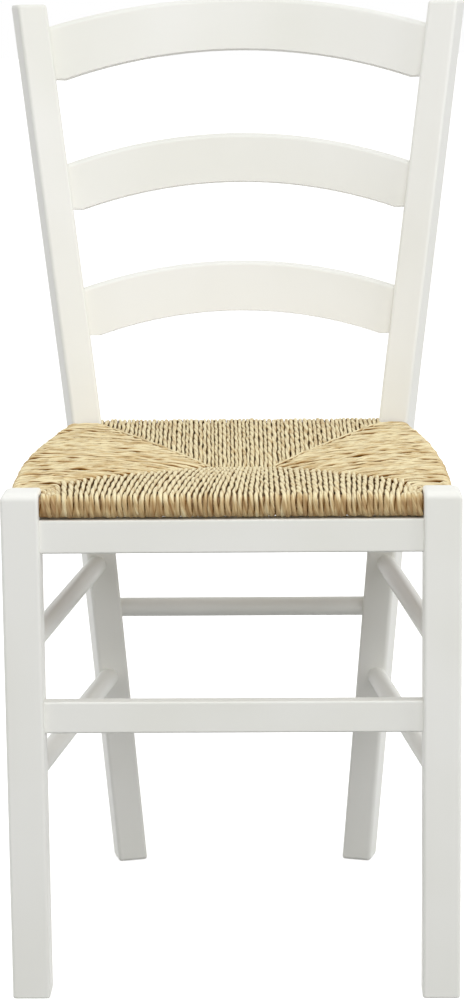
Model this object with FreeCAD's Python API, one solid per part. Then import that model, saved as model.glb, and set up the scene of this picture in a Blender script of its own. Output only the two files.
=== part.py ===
import FreeCAD, Part
import math
import os
from FreeCAD import Vector

# Ladderback dining chair with a woven rush seat. Sizes are in millimetres.
# X runs to the right of someone who looks at the chair's front, the chair faces -Y and Z is up.
# Set-backs are measured from the front faces of the front legs. The finished chair is then
# moved so that its origin lies on the floor, in the middle of its width and depth.

# Front legs. Their tops stand a little above the seat's front edge.
LEG_WIDTH = 33.0
LEG_DEPTH = 33.0
LEG_RISE = 2.0
FRONT_WIDTH = 396.0
LEG_EDGE_ROUND = 3.0
LEG_TOP_ROUND = 7.0
LEG_FOOT_ROUND = 1.5

# Rear posts, each one piece from the floor to the top of the back. They bend back just below
# the seat's front edge, and the back's height is that of the posts above the bend.
POST_WIDTH = 30.0
POST_DEPTH = 36.0
POST_FOOT_DEPTH = 27.0
POST_TOE_IN = 16.0
POST_EDGE_ROUND = 3.5
POST_TOP_ROUND = 3.0
POST_FOOT_ROUND = 3.0
BACK_HEIGHT = 420.0
BEND_DROP = 4.0
BEND_REACH = 70.0
BEND_STEPS = 6
END_STEPS = 2
FOOT_HALF_SPREAD = 118.0
BEND_HALF_SPREAD = 155.0
TOP_HALF_SPREAD = 208.0
FOOT_SET_BACK = 400.0
BEND_SET_BACK = 388.0
TOP_SET_BACK = 452.0

# Slats. Heights run up the slope of the posts, from the bend, to the underside of the slat's ends.
SLAT_THICKNESS = 14.0
SLAT_BEND_RADIUS = 690.0
SLAT_SHOULDER = 14.0
SLAT_TOP_ROUND = 5.0
SLAT_TENON_THICKNESS = 8.0
SLAT_TENON_LENGTH = 18.0
SLAT_TENON_SHOULDER = 6.0
SLATS = {
    "lower_slat": {"height": 95.5, "end": 48.0, "low_rise": 24.5, "top_rise": 26.5},
    "middle_slat": {"height": 221.5, "end": 45.5, "low_rise": 28.0, "top_rise": 31.0},
    "top_slat": {"height": 351.0, "end": 52.5, "low_rise": 31.5, "top_rise": 30.5},
}

# Flat rails across the front, the apron close under the rush
APRON_GAP = 1.1
APRON_HEIGHT = 29.5
APRON_THICKNESS = 18.0
APRON_SET_BACK = 6.0
FRONT_STRETCHER_BOTTOM = 240.2
FRONT_STRETCHER_HEIGHT = 28.5
FRONT_STRETCHER_THICKNESS = 14.0
FRONT_STRETCHER_SET_BACK = 9.5
RAIL_EDGE_ROUND = 2.0
FLAT_TENON_THICKNESS = 8.0
FLAT_TENON_SHOULDER = 4.0
FLAT_TENON_LENGTH = 18.0

# Round stretchers, at their heights above the floor
STRETCHER_DIAMETER = 19.0
STRETCHER_TENON_DIAMETER = 14.0
STRETCHER_TENON_LENGTH = 15.0
UPPER_STRETCHER_HEIGHT = 314.0
LOWER_STRETCHER_HEIGHT = 197.0
REAR_STRETCHER_HEIGHT = 267.0

# Seat frame inside the rush. The seat rises a little towards the back.
SEAT_HEIGHT = 453.0
SEAT_RISE_ANGLE = 0.9
SEAT_RAIL_THICKNESS = 13.0
SEAT_RAIL_WIDTH = 20.0
SEAT_RAIL_ROUND = 5.0
SEAT_TENON_THICKNESS = 8.0
SEAT_TENON_WIDTH = 10.0
CROSS_RAIL_TENON_LENGTH = 14.0
SIDE_RAIL_TENON_LENGTH = 8.0

# Rush. The half widths are those of the woven seat's sides.
CORD_DIAMETER = 4.2
SEAT_FRONT_SET_BACK = 3.0
SEAT_REAR_SET_BACK = 402.0
SEAT_FRONT_HALF_WIDTH = 191.0
SEAT_MIDDLE_HALF_WIDTH = 187.5
SEAT_REAR_HALF_WIDTH = 166.0
SEAT_MIDDLE_SET_BACK = 215.0
SEAT_POST_SET_BACK = 370.0
SEAT_CORNER_RADIUS = 12.0
SEAT_EDGE_FLAT = 2.4
SEAT_DISH_DEPTH = 13.0
SEAM_SET_BACK = 205.0
SEAM_LENGTH = 62.0

# Stuffing between the two layers of rush
STUFFING_SEAM_GAP = 6.0
STUFFING_TIP_SHARE = 0.9

# Small metal pieces
PIN_DIAMETER = 1.8
PIN_LENGTH = 26.0
PIN_SINK = 1.0
TACK_SHANK_DIAMETER = 1.6
TACK_SHANK_LENGTH = 11.0
TACK_HEAD_DIAMETER = 6.0
TACK_HEAD_THICKNESS = 1.0
TACK_SET_BACK = 70.0
TACK_SPACING = 40.0

# Blanks: how far they run on into their posts, past the middle of the posts, and how much of
# a post above and below a joint they are cut to
SLAT_OVERRUN = 15.0
OVERRUN = 8.0
JOINT_REACH = 60.0

# How near two places, directions and points are to count as the same
NEAR = 1.0
ALIGNED = 0.999
SAME_POINT = 0.001

# Clearances
TENON_CLEARANCE = 0.1
TENON_END_GAP = 1.0
RUSH_CLEARANCE = 0.3
METAL_CLEARANCE = 0.05

# Values worked out from the sizes above
SEAT_HALF_THICKNESS = SEAT_RAIL_THICKNESS / 2 + CORD_DIAMETER
LEG_HEIGHT = SEAT_HEIGHT + LEG_RISE
BEND_HEIGHT = SEAT_HEIGHT - BEND_DROP
POST_HEIGHT = BEND_HEIGHT + BACK_HEIGHT
APRON_BOTTOM = SEAT_HEIGHT - 2 * SEAT_HALF_THICKNESS - APRON_GAP - APRON_HEIGHT
LEG_INNER_X = FRONT_WIDTH / 2 - LEG_WIDTH
LEG_CENTRE_X = FRONT_WIDTH / 2 - LEG_WIDTH / 2
BACK_RAKE = math.atan2(TOP_SET_BACK - BEND_SET_BACK, BACK_HEIGHT)
RAIL_EDGE_INSET = CORD_DIAMETER + SEAT_RAIL_WIDTH / 2
FRONT_RAIL_SET_BACK = SEAT_FRONT_SET_BACK + RAIL_EDGE_INSET
REAR_RAIL_SET_BACK = SEAT_REAR_SET_BACK - RAIL_EDGE_INSET
SIDES = {"left": -1, "right": 1}
ACROSS = Vector(1, 0, 0)
BACKWARD = Vector(0, 1, 0)
UP = Vector(0, 0, 1)


def block(low, high):
    """A box between two opposite corners."""
    size = high - low
    return Part.makeBox(size.x, size.y, size.z, low)


def eased(solid, direction, radius):
    """Round the straight edges that run along one direction."""
    edges = []
    for edge in solid.Edges:
        run = (edge.lastVertex().Point - edge.firstVertex().Point).normalize()
        if abs(run.dot(direction)) > ALIGNED:
            edges.append(edge)
    return solid.makeFillet(radius, edges)


def moved(solid, step):
    """A copy of a solid, moved by a vector."""
    copy = solid.copy()
    copy.translate(step)
    return copy


def middle_solid(shape):
    """The solid of a cut shape that lies nearest to the middle of the blank."""
    centre = shape.BoundBox.Center
    return min(shape.Solids, key=lambda piece: (piece.CenterOfMass - centre).Length)


def rod(start, end, radius):
    """A round rod between two points."""
    run = end - start
    return Part.makeCylinder(radius, run.Length, start, run)


def bar(start, end, width, thickness):
    """A rectangular bar between two points, its width level and its thickness upright."""
    run = end - start
    level = UP.cross(run).normalize()
    upright = run.cross(level).normalize()
    corner = start - level * (width / 2) - upright * (thickness / 2)
    corners = [
        corner,
        corner + level * width,
        corner + level * width + upright * thickness,
        corner + upright * thickness,
    ]
    return Part.Face(Part.makePolygon(corners + [corner])).extrude(run)


def rounded_rectangle(width, depth, radius):
    """A level rounded rectangle about the origin, as a wire."""
    x = width / 2
    y = depth / 2
    bend = radius * (1 - math.sqrt(0.5))
    corners = [(1, -1), (1, 1), (-1, 1), (-1, -1)]
    points = []
    for sx, sy in corners:
        before = Vector(sx * (x - radius), sy * y, 0)
        beside = Vector(sx * x, sy * (y - radius), 0)
        middle = Vector(sx * (x - bend), sy * (y - bend), 0)
        if sx * sy < 0:
            points.append((before, middle, beside))
        else:
            points.append((beside, middle, before))
    edges = []
    for index, (start, middle, end) in enumerate(points):
        edges.append(Part.Arc(start, middle, end).toShape())
        following = points[(index + 1) % len(points)][0]
        edges.append(Part.makeLine(end, following))
    return Part.Wire(edges)


# Front legs

def front_leg(side, grow=0.0):
    """A square leg with a softened top, eased long edges and an eased foot."""
    outer = FRONT_WIDTH / 2 + grow
    inner = LEG_INNER_X - grow
    low = Vector(min(side * inner, side * outer), -grow, 0)
    high = Vector(max(side * inner, side * outer), LEG_DEPTH + grow, LEG_HEIGHT)
    leg = block(low, high)
    top_edges = []
    for edge in leg.Edges:
        middle = edge.CenterOfMass
        at_top = middle.z > LEG_HEIGHT - NEAR
        at_front = abs(middle.y - low.y) < NEAR
        at_outside = abs(middle.x - side * outer) < NEAR
        if at_top and (at_front or at_outside):
            top_edges.append(edge)
    leg = leg.makeFillet(LEG_TOP_ROUND, top_edges)
    long_edges = []
    for edge in leg.Edges:
        run = edge.lastVertex().Point - edge.firstVertex().Point
        if abs(run.z) > LEG_HEIGHT / 2:
            long_edges.append(edge)
    leg = leg.makeFillet(LEG_EDGE_ROUND, long_edges)
    foot_edges = []
    for edge in leg.Edges:
        if edge.BoundBox.ZMax < NEAR:
            foot_edges.append(edge)
    return leg.makeFillet(LEG_FOOT_ROUND, foot_edges)


# Rear posts

def blended(height, foot, bend, top):
    """A measure that runs straight from foot to bend to top, with a smooth turn at the bend."""
    lower_slope = (bend - foot) / BEND_HEIGHT
    upper_slope = (top - bend) / BACK_HEIGHT
    above = height - BEND_HEIGHT
    if above >= BEND_REACH:
        return bend + upper_slope * above
    value = bend + lower_slope * above
    if above > -BEND_REACH:
        value += (upper_slope - lower_slope) * (above + BEND_REACH) ** 2 / (4 * BEND_REACH)
    return value


def post_centre(side, height):
    """The middle of a rear post at a height above the floor."""
    spread = blended(height, FOOT_HALF_SPREAD, BEND_HALF_SPREAD, TOP_HALF_SPREAD)
    set_back = blended(height, FOOT_SET_BACK, BEND_SET_BACK, TOP_SET_BACK)
    return Vector(side * spread, set_back, height)


def post_depth(height):
    """The post tapers below the bend towards its foot."""
    share = min(height / (BEND_HEIGHT - BEND_REACH), 1.0)
    return POST_FOOT_DEPTH + (POST_DEPTH - POST_FOOT_DEPTH) * share


def post_section(side, height, grow):
    """The rounded outline of a rear post at a height, toed in towards the chair's middle."""
    width = POST_WIDTH + 2 * grow
    depth = post_depth(height) + 2 * grow
    wire = rounded_rectangle(width, depth, POST_EDGE_ROUND + grow)
    wire.rotate(Vector(0, 0, 0), UP, -side * POST_TOE_IN)
    wire.translate(post_centre(side, height))
    return wire


def rounded_end(end, inward, radius):
    """Heights and insets of the sections that round a post over at one end."""
    sections = []
    for step in range(END_STEPS + 1):
        angle = math.pi / 2 * step / END_STEPS
        height = end + inward * radius * (1 - math.sin(angle))
        sections.append((height, radius * (1 - math.cos(angle))))
    return sections


def bend_heights():
    """The heights of the sections that take a post round its bend."""
    return [BEND_HEIGHT + BEND_REACH * (2 * step / BEND_STEPS - 1) for step in range(BEND_STEPS + 1)]


def rear_post(side, grow=0.0):
    """A rear post, lofted straight up to the bend, round it and straight on to the top."""
    sections = rounded_end(0, 1, POST_FOOT_ROUND)[::-1]
    sections += [(height, 0) for height in bend_heights()]
    sections += rounded_end(POST_HEIGHT, -1, POST_TOP_ROUND)
    wires = [post_section(side, height, grow - inset) for height, inset in sections]
    return Part.makeLoft(wires, True, True)


def post_stretch(side, low, high, grow=0.0):
    """The part of a rear post between two heights, with the post's own facets."""
    turns = bend_heights()
    heights = [low] + [height for height in turns if low < height < high] + [high]
    wires = []
    for height in heights:
        below = max([turn for turn in turns if turn <= height], default=0)
        above = min([turn for turn in turns if turn > height], default=POST_HEIGHT)
        if turns[0] < height < turns[-1]:
            wires.append(section_between(side, below, above, height, grow))
        else:
            wires.append(post_section(side, height, grow))
    return Part.makeLoft(wires, True, True)


def section_between(side, below, above, height, grow):
    """A post's outline on the straight facet between two of its sections."""
    low = post_centre(side, below)
    centre = low + (post_centre(side, above) - low) * ((height - below) / (above - below))
    wire = post_section(side, height, grow)
    wire.translate(centre - post_centre(side, height))
    return wire


def toed_direction(side, forward):
    """The level direction of a rear post's front face, or of its outer face."""
    angle = math.radians(POST_TOE_IN)
    if forward:
        return Vector(-side * math.sin(angle), -math.cos(angle), 0)
    return Vector(side * math.cos(angle), -math.sin(angle), 0)


# Joints

class Joint:
    """A tenoned end: the stretch of post that holds it, its way out and the tenon's length."""

    def __init__(self, post_name, stretch, way_out, wall, length):
        self.post_name = post_name
        self.stretch = stretch
        self.way_out = way_out
        self.wall = wall
        self.length = length


def leg_joint(name, height, way_out, length):
    """A joint into a front leg, towards the other leg or straight backwards."""
    side = SIDES[name]
    inner = side * LEG_INNER_X
    outer = side * FRONT_WIDTH / 2
    low = Vector(min(inner, outer), 0, height - JOINT_REACH)
    high = Vector(max(inner, outer), LEG_DEPTH, height + JOINT_REACH)
    wall = LEG_WIDTH if abs(way_out.x) > abs(way_out.y) else LEG_DEPTH
    return Joint("front_leg_" + name, block(low, high), way_out, wall, length)


def post_joint(name, height, forward, length):
    """A joint into a rear post, through its front face or its inner face."""
    side = SIDES[name]
    stretch = post_stretch(side, height - JOINT_REACH, height + JOINT_REACH)
    if forward:
        return Joint("rear_post_" + name, stretch, toed_direction(side, True), post_depth(height), length)
    return Joint("rear_post_" + name, stretch, toed_direction(side, False) * -1, POST_WIDTH, length)


def tenoned(member, tenon, socket, joints):
    """Cut a member to its posts and give it tenons. Also gives the mortise of each post."""
    member = middle_solid(member.cut([joint.stretch for joint in joints]))
    sockets = []
    for joint in joints:
        seated = moved(joint.stretch, joint.way_out * (joint.wall - joint.length))
        opened = moved(joint.stretch, joint.way_out * (joint.wall - joint.length - TENON_END_GAP))
        member = member.fuse(tenon.common(joint.stretch).common(seated))
        sockets.append((joint.post_name, socket.common(joint.stretch).common(opened)))
    return member.removeSplitter(), sockets


# Slats

def arch_height(x, half, end, rise):
    """Height of a circular arch that is `end` at `half` from the middle and `rise` more there."""
    radius = (half * half + rise * rise) / (2 * rise)
    return end + rise - radius + math.sqrt(radius * radius - x * x)


def upper_place(solid):
    """Lean a piece back with the upper posts."""
    solid.rotate(Vector(0, 0, 0), ACROSS, -math.degrees(BACK_RAKE))
    solid.translate(Vector(0, BEND_SET_BACK, BEND_HEIGHT))
    return solid


def slat_post_half(height):
    """Half the distance between the posts' middles at a height along the slope."""
    level = BEND_HEIGHT + height * math.cos(BACK_RAKE)
    return post_centre(1, level).x


def bent_board(face, half, thickness):
    """A board bent round an upright axis in front of the back, with the elevation of a face."""
    forward = math.sqrt(SLAT_BEND_RADIUS ** 2 - half ** 2)
    bottom = face.BoundBox.ZMin - NEAR
    tall = face.BoundBox.ZLength + 2 * NEAR
    base = Vector(0, -forward, bottom)
    outer = Part.makeCylinder(SLAT_BEND_RADIUS + thickness / 2, tall, base)
    inner = Part.makeCylinder(SLAT_BEND_RADIUS - thickness / 2, tall, base)
    elevation = face.extrude(BACKWARD * 2 * SLAT_BEND_RADIUS)
    elevation.translate(BACKWARD * (-forward))
    return outer.cut(inner).common(elevation)


def slat_face(half, slat):
    """The elevation of a slat: a short level shoulder and an arch below, one long arch above."""
    reach = half + SLAT_OVERRUN
    post_face = half - POST_WIDTH / 2 / math.cos(math.radians(POST_TOE_IN))
    turn = post_face - SLAT_SHOULDER
    low = slat["height"]
    top = low + slat["end"]
    top_end = arch_height(reach, post_face, top, slat["top_rise"])
    start = Vector(-reach, 0, low)
    left_turn = Vector(-turn, 0, low)
    right_turn = Vector(turn, 0, low)
    end = Vector(reach, 0, low)
    edges = [
        Part.makeLine(start, left_turn),
        Part.Arc(left_turn, Vector(0, 0, low + slat["low_rise"]), right_turn).toShape(),
        Part.makeLine(right_turn, end),
        Part.makeLine(end, Vector(reach, 0, top_end)),
        Part.Arc(
            Vector(reach, 0, top_end),
            Vector(0, 0, top + slat["top_rise"]),
            Vector(-reach, 0, top_end),
        ).toShape(),
        Part.makeLine(Vector(-reach, 0, top_end), start),
    ]
    return Part.Face(Part.Wire(edges))


def slat_tenon_face(half, slat, grow):
    """The plain elevation of a slat's two tenons."""
    reach = half + SLAT_OVERRUN
    low = slat["height"] + SLAT_TENON_SHOULDER - grow
    top = slat["height"] + slat["end"] - SLAT_TENON_SHOULDER + grow
    corners = [Vector(-reach, 0, low), Vector(reach, 0, low), Vector(reach, 0, top), Vector(-reach, 0, top)]
    return Part.Face(Part.makePolygon(corners + corners[:1]))


def make_slat(slat):
    """A bent, arched slat with a tenon in each rear post."""
    half = slat_post_half(slat["height"] + slat["end"] / 2)
    board = bent_board(slat_face(half, slat), half, SLAT_THICKNESS)
    top_edges = []
    for edge in board.Edges:
        middle = edge.valueAt((edge.FirstParameter + edge.LastParameter) / 2)
        if abs(middle.x) < NEAR and middle.z > slat["height"] + slat["end"]:
            top_edges.append(edge)
    board = board.makeFillet(SLAT_TOP_ROUND, top_edges)
    board = upper_place(board)
    tenon = upper_place(bent_board(slat_tenon_face(half, slat, 0), half, SLAT_TENON_THICKNESS))
    socket_face = slat_tenon_face(half, slat, TENON_CLEARANCE)
    socket = upper_place(bent_board(socket_face, half, SLAT_TENON_THICKNESS + 2 * TENON_CLEARANCE))
    level = BEND_HEIGHT + (slat["height"] + slat["end"] / 2) * math.cos(BACK_RAKE)
    joints = [post_joint(name, level, False, SLAT_TENON_LENGTH) for name in SIDES]
    return tenoned(board, tenon, socket, joints)


# Flat rails between the front legs

def flat_rail(bottom, height, thickness, set_back):
    """A flat rail between the front legs, tenoned into both."""
    reach = LEG_CENTRE_X + OVERRUN
    low = Vector(-reach, set_back, bottom)
    rail = eased(block(low, Vector(reach, set_back + thickness, bottom + height)), ACROSS, RAIL_EDGE_ROUND)
    tenons = []
    for grow in (0, TENON_CLEARANCE):
        margin_y = (thickness - FLAT_TENON_THICKNESS) / 2 - grow
        margin_z = FLAT_TENON_SHOULDER - grow
        tenon_low = Vector(-reach, set_back + margin_y, bottom + margin_z)
        tenon_high = Vector(reach, set_back + thickness - margin_y, bottom + height - margin_z)
        tenons.append(block(tenon_low, tenon_high))
    joints = []
    for name, side in SIDES.items():
        joints.append(leg_joint(name, bottom + height / 2, ACROSS * -side, FLAT_TENON_LENGTH))
    return tenoned(rail, tenons[0], tenons[1], joints)


# Round stretchers

def round_stretcher(start, end, joints):
    """A turned stretcher between two points inside its posts, with a thinner tenon at each end."""
    run = (end - start).normalize() * OVERRUN
    member = rod(start - run, end + run, STRETCHER_DIAMETER / 2)
    tenon = rod(start - run, end + run, STRETCHER_TENON_DIAMETER / 2)
    socket = rod(start - run, end + run, STRETCHER_TENON_DIAMETER / 2 + TENON_CLEARANCE)
    return tenoned(member, tenon, socket, joints)


def side_stretcher(name, height):
    """A stretcher from a front leg's back face to the front of the rear leg."""
    side = SIDES[name]
    start = Vector(side * LEG_CENTRE_X, LEG_DEPTH / 2, height)
    end = post_centre(side, height)
    joints = [
        leg_joint(name, height, BACKWARD, STRETCHER_TENON_LENGTH),
        post_joint(name, height, True, STRETCHER_TENON_LENGTH),
    ]
    return round_stretcher(start, end, joints)


def rear_stretcher():
    """The stretcher between the two rear legs."""
    height = REAR_STRETCHER_HEIGHT
    joints = [post_joint(name, height, False, STRETCHER_TENON_LENGTH) for name in SIDES]
    return round_stretcher(post_centre(-1, height), post_centre(1, height), joints)


# Seat frame, drawn level about its own middle plane

def seat_place(solid):
    """Tilt a piece of the seat and lift it to its height."""
    solid.rotate(Vector(0, 0, 0), ACROSS, SEAT_RISE_ANGLE)
    solid.translate(UP * (SEAT_HEIGHT - SEAT_HALF_THICKNESS))
    return solid


def cross_rail_bar(middle_set_back, reach, grow):
    """The rounded bar of the front or the rear seat rail, before it is cut to its posts."""
    width = SEAT_RAIL_WIDTH / 2 + grow
    thickness = SEAT_RAIL_THICKNESS / 2 + grow
    low = Vector(-reach, middle_set_back - width, -thickness)
    high = Vector(reach, middle_set_back + width, thickness)
    return eased(block(low, high), ACROSS, SEAT_RAIL_ROUND)


def cross_rail(front):
    """The front or the rear seat rail, tenoned into the posts beside it."""
    middle = FRONT_RAIL_SET_BACK if front else REAR_RAIL_SET_BACK
    reach = cross_rail_reach(front)
    rail = seat_place(cross_rail_bar(middle, reach, 0))
    start = Vector(-reach, middle, 0)
    end = Vector(reach, middle, 0)
    tenons = []
    for grow in (0, TENON_CLEARANCE):
        width = SEAT_TENON_WIDTH + 2 * grow
        thickness = SEAT_TENON_THICKNESS + 2 * grow
        tenons.append(seat_place(bar(start, end, width, thickness)))
    joints = []
    for name, side in SIDES.items():
        if front:
            joints.append(leg_joint(name, SEAT_HEIGHT, ACROSS * -side, CROSS_RAIL_TENON_LENGTH))
        else:
            joints.append(post_joint(name, SEAT_HEIGHT, False, CROSS_RAIL_TENON_LENGTH))
    return tenoned(rail, tenons[0], tenons[1], joints)


def cross_rail_reach(front):
    """How far a cross rail's blank runs from the middle of the chair into its posts."""
    if front:
        return LEG_CENTRE_X + OVERRUN
    return post_centre(1, SEAT_HEIGHT).x


def side_rail_bar(side, grow):
    """A side seat rail before it is cut to its posts: straight inside, curved outside."""
    outer = CORD_DIAMETER - grow
    inner = CORD_DIAMETER + SEAT_RAIL_WIDTH + grow
    front = LEG_DEPTH / 2
    back = SEAT_POST_SET_BACK + OVERRUN
    half = SEAT_RAIL_THICKNESS / 2 + grow
    front_outer = Vector(side * (SEAT_FRONT_HALF_WIDTH - outer), LEG_DEPTH, -half)
    middle_outer = Vector(side * (SEAT_MIDDLE_HALF_WIDTH - outer), SEAT_MIDDLE_SET_BACK, -half)
    back_outer = Vector(side * (SEAT_REAR_HALF_WIDTH - outer), SEAT_POST_SET_BACK, -half)
    front_inner = Vector(side * (SEAT_FRONT_HALF_WIDTH - inner), front, -half)
    back_inner = Vector(side * (SEAT_REAR_HALF_WIDTH - inner), back, -half)
    start = Vector(front_outer.x, front, -half)
    end = Vector(back_outer.x, back, -half)
    edges = [
        Part.makeLine(start, front_outer),
        Part.Arc(front_outer, middle_outer, back_outer).toShape(),
        Part.makeLine(back_outer, end),
        Part.makeLine(end, back_inner),
        Part.makeLine(back_inner, front_inner),
        Part.makeLine(front_inner, start),
    ]
    rail = Part.Face(Part.Wire(edges)).extrude(UP * 2 * half)
    long_edges = []
    for edge in rail.Edges:
        middle = edge.valueAt((edge.FirstParameter + edge.LastParameter) / 2)
        if LEG_DEPTH < middle.y < SEAT_POST_SET_BACK:
            long_edges.append(edge)
    return rail.makeFillet(SEAT_RAIL_ROUND, long_edges)


def side_rail_axis(side):
    """The two ends of a side rail's tenon line, inside the front leg and the rear post."""
    front = Vector(side * (SEAT_FRONT_HALF_WIDTH - RAIL_EDGE_INSET), LEG_DEPTH / 2, 0)
    back = Vector(side * (SEAT_REAR_HALF_WIDTH - RAIL_EDGE_INSET), SEAT_POST_SET_BACK + OVERRUN, 0)
    return front, back


def side_rail(name):
    """A side seat rail with a tenon in the front leg and one in the rear post."""
    side = SIDES[name]
    start, end = side_rail_axis(side)
    tenons = []
    for grow in (0, TENON_CLEARANCE):
        width = SEAT_TENON_WIDTH + 2 * grow
        thickness = SEAT_TENON_THICKNESS + 2 * grow
        tenons.append(seat_place(bar(start, end, width, thickness)))
    joints = [
        leg_joint(name, SEAT_HEIGHT, BACKWARD, SIDE_RAIL_TENON_LENGTH),
        post_joint(name, SEAT_HEIGHT, True, SIDE_RAIL_TENON_LENGTH),
    ]
    return tenoned(seat_place(side_rail_bar(side, 0)), tenons[0], tenons[1], joints)


# Rush seat

def crest_corner(side, front):
    """A corner of the line along the tops of the four rails."""
    if front:
        half = SEAT_FRONT_HALF_WIDTH - RAIL_EDGE_INSET
        return Vector(side * half, FRONT_RAIL_SET_BACK, SEAT_HALF_THICKNESS)
    half = SEAT_REAR_HALF_WIDTH - RAIL_EDGE_INSET
    return Vector(side * half, REAR_RAIL_SET_BACK, SEAT_HALF_THICKNESS)


def seam_end(side):
    """An end of the short seam in the middle of the seat, where the four panels meet."""
    return Vector(side * SEAM_LENGTH / 2, SEAM_SET_BACK, SEAT_HALF_THICKNESS - SEAT_DISH_DEPTH)


PANELS = {
    "front": (crest_corner(-1, True), crest_corner(1, True), seam_end(1), seam_end(-1)),
    "right": (crest_corner(1, True), crest_corner(1, False), seam_end(1), seam_end(1)),
    "rear": (crest_corner(1, False), crest_corner(-1, False), seam_end(-1), seam_end(1)),
    "left": (crest_corner(-1, False), crest_corner(-1, True), seam_end(-1), seam_end(-1)),
}


def polygon_face(points):
    """A flat face through points, leaving out a repeated one."""
    corners = []
    for point in points:
        if not corners or (point - corners[-1]).Length > SAME_POINT:
            corners.append(point)
    return Part.Face(Part.makePolygon(corners + corners[:1]))


def dish():
    """The hollow of the seat's top: four flat panels that fall to the seam."""
    faces = [polygon_face(panel) for panel in PANELS.values()]
    faces.append(polygon_face([panel[0] for panel in PANELS.values()]))
    return Part.Solid(Part.makeShell(faces))


def rush_outline():
    """The plan of the woven seat, at its underside."""
    bottom = -SEAT_HALF_THICKNESS
    corner = SEAT_CORNER_RADIUS
    front = SEAT_FRONT_SET_BACK
    half = SEAT_FRONT_HALF_WIDTH
    bend = corner * (1 - math.sqrt(0.5))
    points = {}
    for side in (-1, 1):
        points[side] = [
            Vector(side * (half - corner), front, bottom),
            Vector(side * (half - bend), front + bend, bottom),
            Vector(side * half, front + corner, bottom),
            Vector(side * half, LEG_DEPTH, bottom),
            Vector(side * SEAT_MIDDLE_HALF_WIDTH, SEAT_MIDDLE_SET_BACK, bottom),
            Vector(side * SEAT_REAR_HALF_WIDTH, SEAT_POST_SET_BACK, bottom),
            Vector(side * (SEAT_REAR_HALF_WIDTH - corner), SEAT_REAR_SET_BACK, bottom),
        ]
    edges = []
    for side in (-1, 1):
        run = points[side]
        edges.append(Part.Arc(run[0], run[1], run[2]).toShape())
        edges.append(Part.makeLine(run[2], run[3]))
        edges.append(Part.Arc(run[3], run[4], run[5]).toShape())
        edges.append(Part.makeLine(run[5], run[6]))
    edges.append(Part.makeLine(points[-1][0], points[1][0]))
    edges.append(Part.makeLine(points[-1][6], points[1][6]))
    return Part.Face(Part.Wire(Part.sortEdges(edges)[0]))


def stuffing_pocket(name, grow):
    """A wedge of stuffing between the rush's upper and lower layers, in one panel."""
    first, second, second_seam, first_seam = PANELS[name]
    wires = []
    start = (SEAT_RAIL_WIDTH / 2 + CORD_DIAMETER - grow) / depth_of_panel(name)
    for share in (start, STUFFING_TIP_SHARE):
        left = first + (first_seam - first) * share
        right = second + (second_seam - second) * share
        along = (right - left).normalize()
        margin = (STUFFING_SEAM_GAP - grow) * math.sqrt(2)
        left = left + along * margin
        right = right - along * margin
        top = left.z - CORD_DIAMETER + grow
        bottom = CORD_DIAMETER - SEAT_HALF_THICKNESS - grow
        corners = []
        for point, height in ((left, bottom), (right, bottom), (right, top), (left, top)):
            corners.append(Vector(point.x, point.y, height))
        wires.append(Part.makePolygon(corners + corners[:1]))
    return Part.makeLoft(wires, True, True)


def depth_of_panel(name):
    """How far a panel runs in plan from its rail to the seam."""
    first, second, second_seam, first_seam = PANELS[name]
    along = Vector(second.x - first.x, second.y - first.y, 0).normalize()
    across = Vector(first_seam.x - first.x, first_seam.y - first.y, 0)
    return (across - along * across.dot(along)).Length


def rush(blanks, legs_and_posts, heads):
    """The woven seat as one solid, hollow for its rails and stuffing and notched at the legs."""
    seat = rush_outline().extrude(UP * 2 * SEAT_HALF_THICKNESS)
    rims = []
    for edge in seat.Edges:
        if edge.BoundBox.ZLength < SEAT_HALF_THICKNESS:
            rims.append(edge)
    seat = seat.makeFillet(SEAT_HALF_THICKNESS - SEAT_EDGE_FLAT / 2, rims)
    seat = seat_place(seat.cut([dish()] + blanks))
    return middle_solid(seat.cut(legs_and_posts + heads))


# Small metal pieces

def slat_pin(side, slat, grow):
    """A headless pin, driven from the back of a post through a slat's tenon."""
    height = BEND_HEIGHT + (slat["height"] + slat["end"] / 2) * math.cos(BACK_RAKE)
    inward = toed_direction(side, False) * (SLAT_TENON_LENGTH / 2 - POST_WIDTH / 2)
    backward = toed_direction(side, True) * -1
    start = post_centre(side, height) + inward + backward * (POST_DEPTH / 2 - PIN_SINK + grow)
    end = start - backward * (PIN_LENGTH + 2 * grow)
    return rod(start, end, PIN_DIAMETER / 2 + grow)


def tack(set_back, grow):
    """A tack in the inner edge of the left rail, which holds an end of the cord."""
    front, back = side_rail_axis(-1)
    share = (set_back - front.y) / (back.y - front.y)
    start = front + (back - front) * share + ACROSS * (SEAT_RAIL_WIDTH / 2)
    tip = start - ACROSS * (TACK_SHANK_LENGTH + grow)
    under_head = start - ACROSS * grow
    over_head = start + ACROSS * (TACK_HEAD_THICKNESS + grow)
    shank = rod(tip, start, TACK_SHANK_DIAMETER / 2 + grow)
    head = rod(under_head, over_head, TACK_HEAD_DIAMETER / 2 + grow)
    return seat_place(shank.fuse(head))


# The chair

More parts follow.
